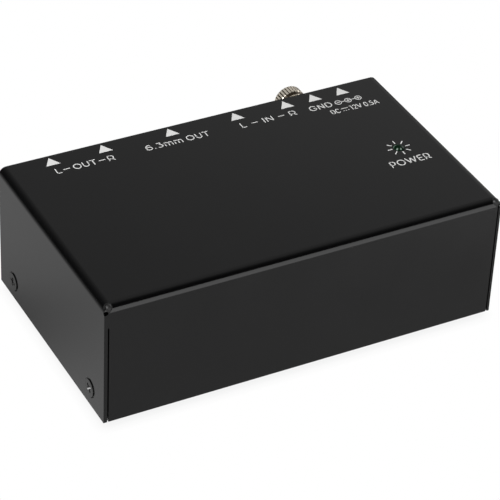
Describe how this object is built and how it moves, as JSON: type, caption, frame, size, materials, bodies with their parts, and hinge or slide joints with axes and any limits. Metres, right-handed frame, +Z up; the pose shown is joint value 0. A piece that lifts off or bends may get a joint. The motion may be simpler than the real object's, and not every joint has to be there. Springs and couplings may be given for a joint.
{
  "type": "phono preamp",
  "caption": "Small turntable preamp in a folded black steel case, with rear phono sockets, a phone socket, a power inlet and a ground thumb nut.",
  "frame": {"origin": "middle of the footprint, sockets and thumb nut included, on the surface that the feet stand on", "axes": "+X along the case to the right seen from the front, +Y from the front to the rear panel, +Z up"},
  "size_m": [0.1356, 0.093, 0.0464],
  "materials": {
    "black_powder_coat": "fine satin powder coat",
    "black_steel": "black zinc plate",
    "zinc_steel": "bright zinc plate",
    "foot_rubber": "matt",
    "plated_brass": "nickel plate over brass, slightly warm",
    "nickel": "nickel plate",
    "tinned_copper": "tin plate",
    "white_insulator": "moulded",
    "red_insulator": "moulded",
    "black_moulding": "moulded",
    "green_lens": "tinted clear resin",
    "green_wire": "extruded insulation",
    "green_board": "solder mask over glass laminate",
    "amplifier_resin": "moulded epoxy",
    "capacitor_sleeve": "shrink sleeve over aluminium",
    "film_box": "moulded box",
    "resistor_lacquer": "lacquer over ceramic",
    "ferrite": "ferrite with enamelled wire"
  },
  "bodies": {
    "case": {"base_tray": "black_powder_coat", "board_pillars": "plated_brass", "board_screws": "zinc_steel", "bypass_capacitors": "capacitor_sleeve", "circuit_board": "green_board", "clinch_nuts": "zinc_steel", "coupling_capacitors": "capacitor_sleeve", "cover_screws": "black_steel", "film_capacitors": "film_box", "ground_lock_nut": "nickel", "ground_lug": "tinned_copper", "ground_star_washer": "nickel", "ground_stud": "plated_brass", "ground_wire": "green_wire", "inlet_housing": "black_moulding", "inlet_pin": "tinned_copper", "inlet_spring": "tinned_copper", "input_amplifier": "amplifier_resin", "left_input_contact": "tinned_copper", "left_input_housing": "black_moulding", "left_input_insulator": "white_insulator", "left_input_shell": "nickel", "left_output_contact": "tinned_copper", "left_output_housing": "black_moulding", "left_output_insulator": "white_insulator", "left_output_shell": "nickel", "left_resistors": "resistor_lacquer", "output_amplifier": "amplifier_resin", "phone_bushing": "nickel", "phone_housing": "black_moulding", "phone_nut": "nickel", "phone_ring_spring": "tinned_copper", "phone_tip_spring": "tinned_copper", "phone_washer": "nickel", "power_light": "green_lens", "power_light_leads": "tinned_copper", "power_light_spacer": "black_moulding", "rectifier_diode": "amplifier_resin", "reservoir_capacitors": "capacitor_sleeve", "right_input_contact": "tinned_copper", "right_input_housing": "black_moulding", "right_input_insulator": "red_insulator", "right_input_shell": "nickel", "right_output_contact": "tinned_copper", "right_output_housing": "black_moulding", "right_output_insulator": "red_insulator", "right_output_shell": "nickel", "right_resistors": "resistor_lacquer", "rubber_feet": "foot_rubber", "supply_choke": "ferrite", "top_cover": "black_powder_coat", "voltage_regulator": "amplifier_resin"},
    "clamp_washer": {"ground_clamp_washer": "nickel"},
    "thumb_nut": {"ground_thumb_nut": "plated_brass"}
  },
  "joints": [
    {"name": "thumb_nut_travel", "type": "slide", "parent": "case", "child": "clamp_washer", "axis": [0, 1, 0], "range_m": [0, 0.0028]},
    {"name": "thumb_nut_turn", "type": "hinge", "parent": "clamp_washer", "child": "thumb_nut", "pos_m": [0.0418, 0.0359, 0.03525], "axis": [0, 1, 0], "range_deg": [0, 1440]}
  ],
  "couplings": [
    {"joint": "thumb_nut_turn", "follows": "thumb_nut_travel", "rad_per_m": 8976}
  ]
}
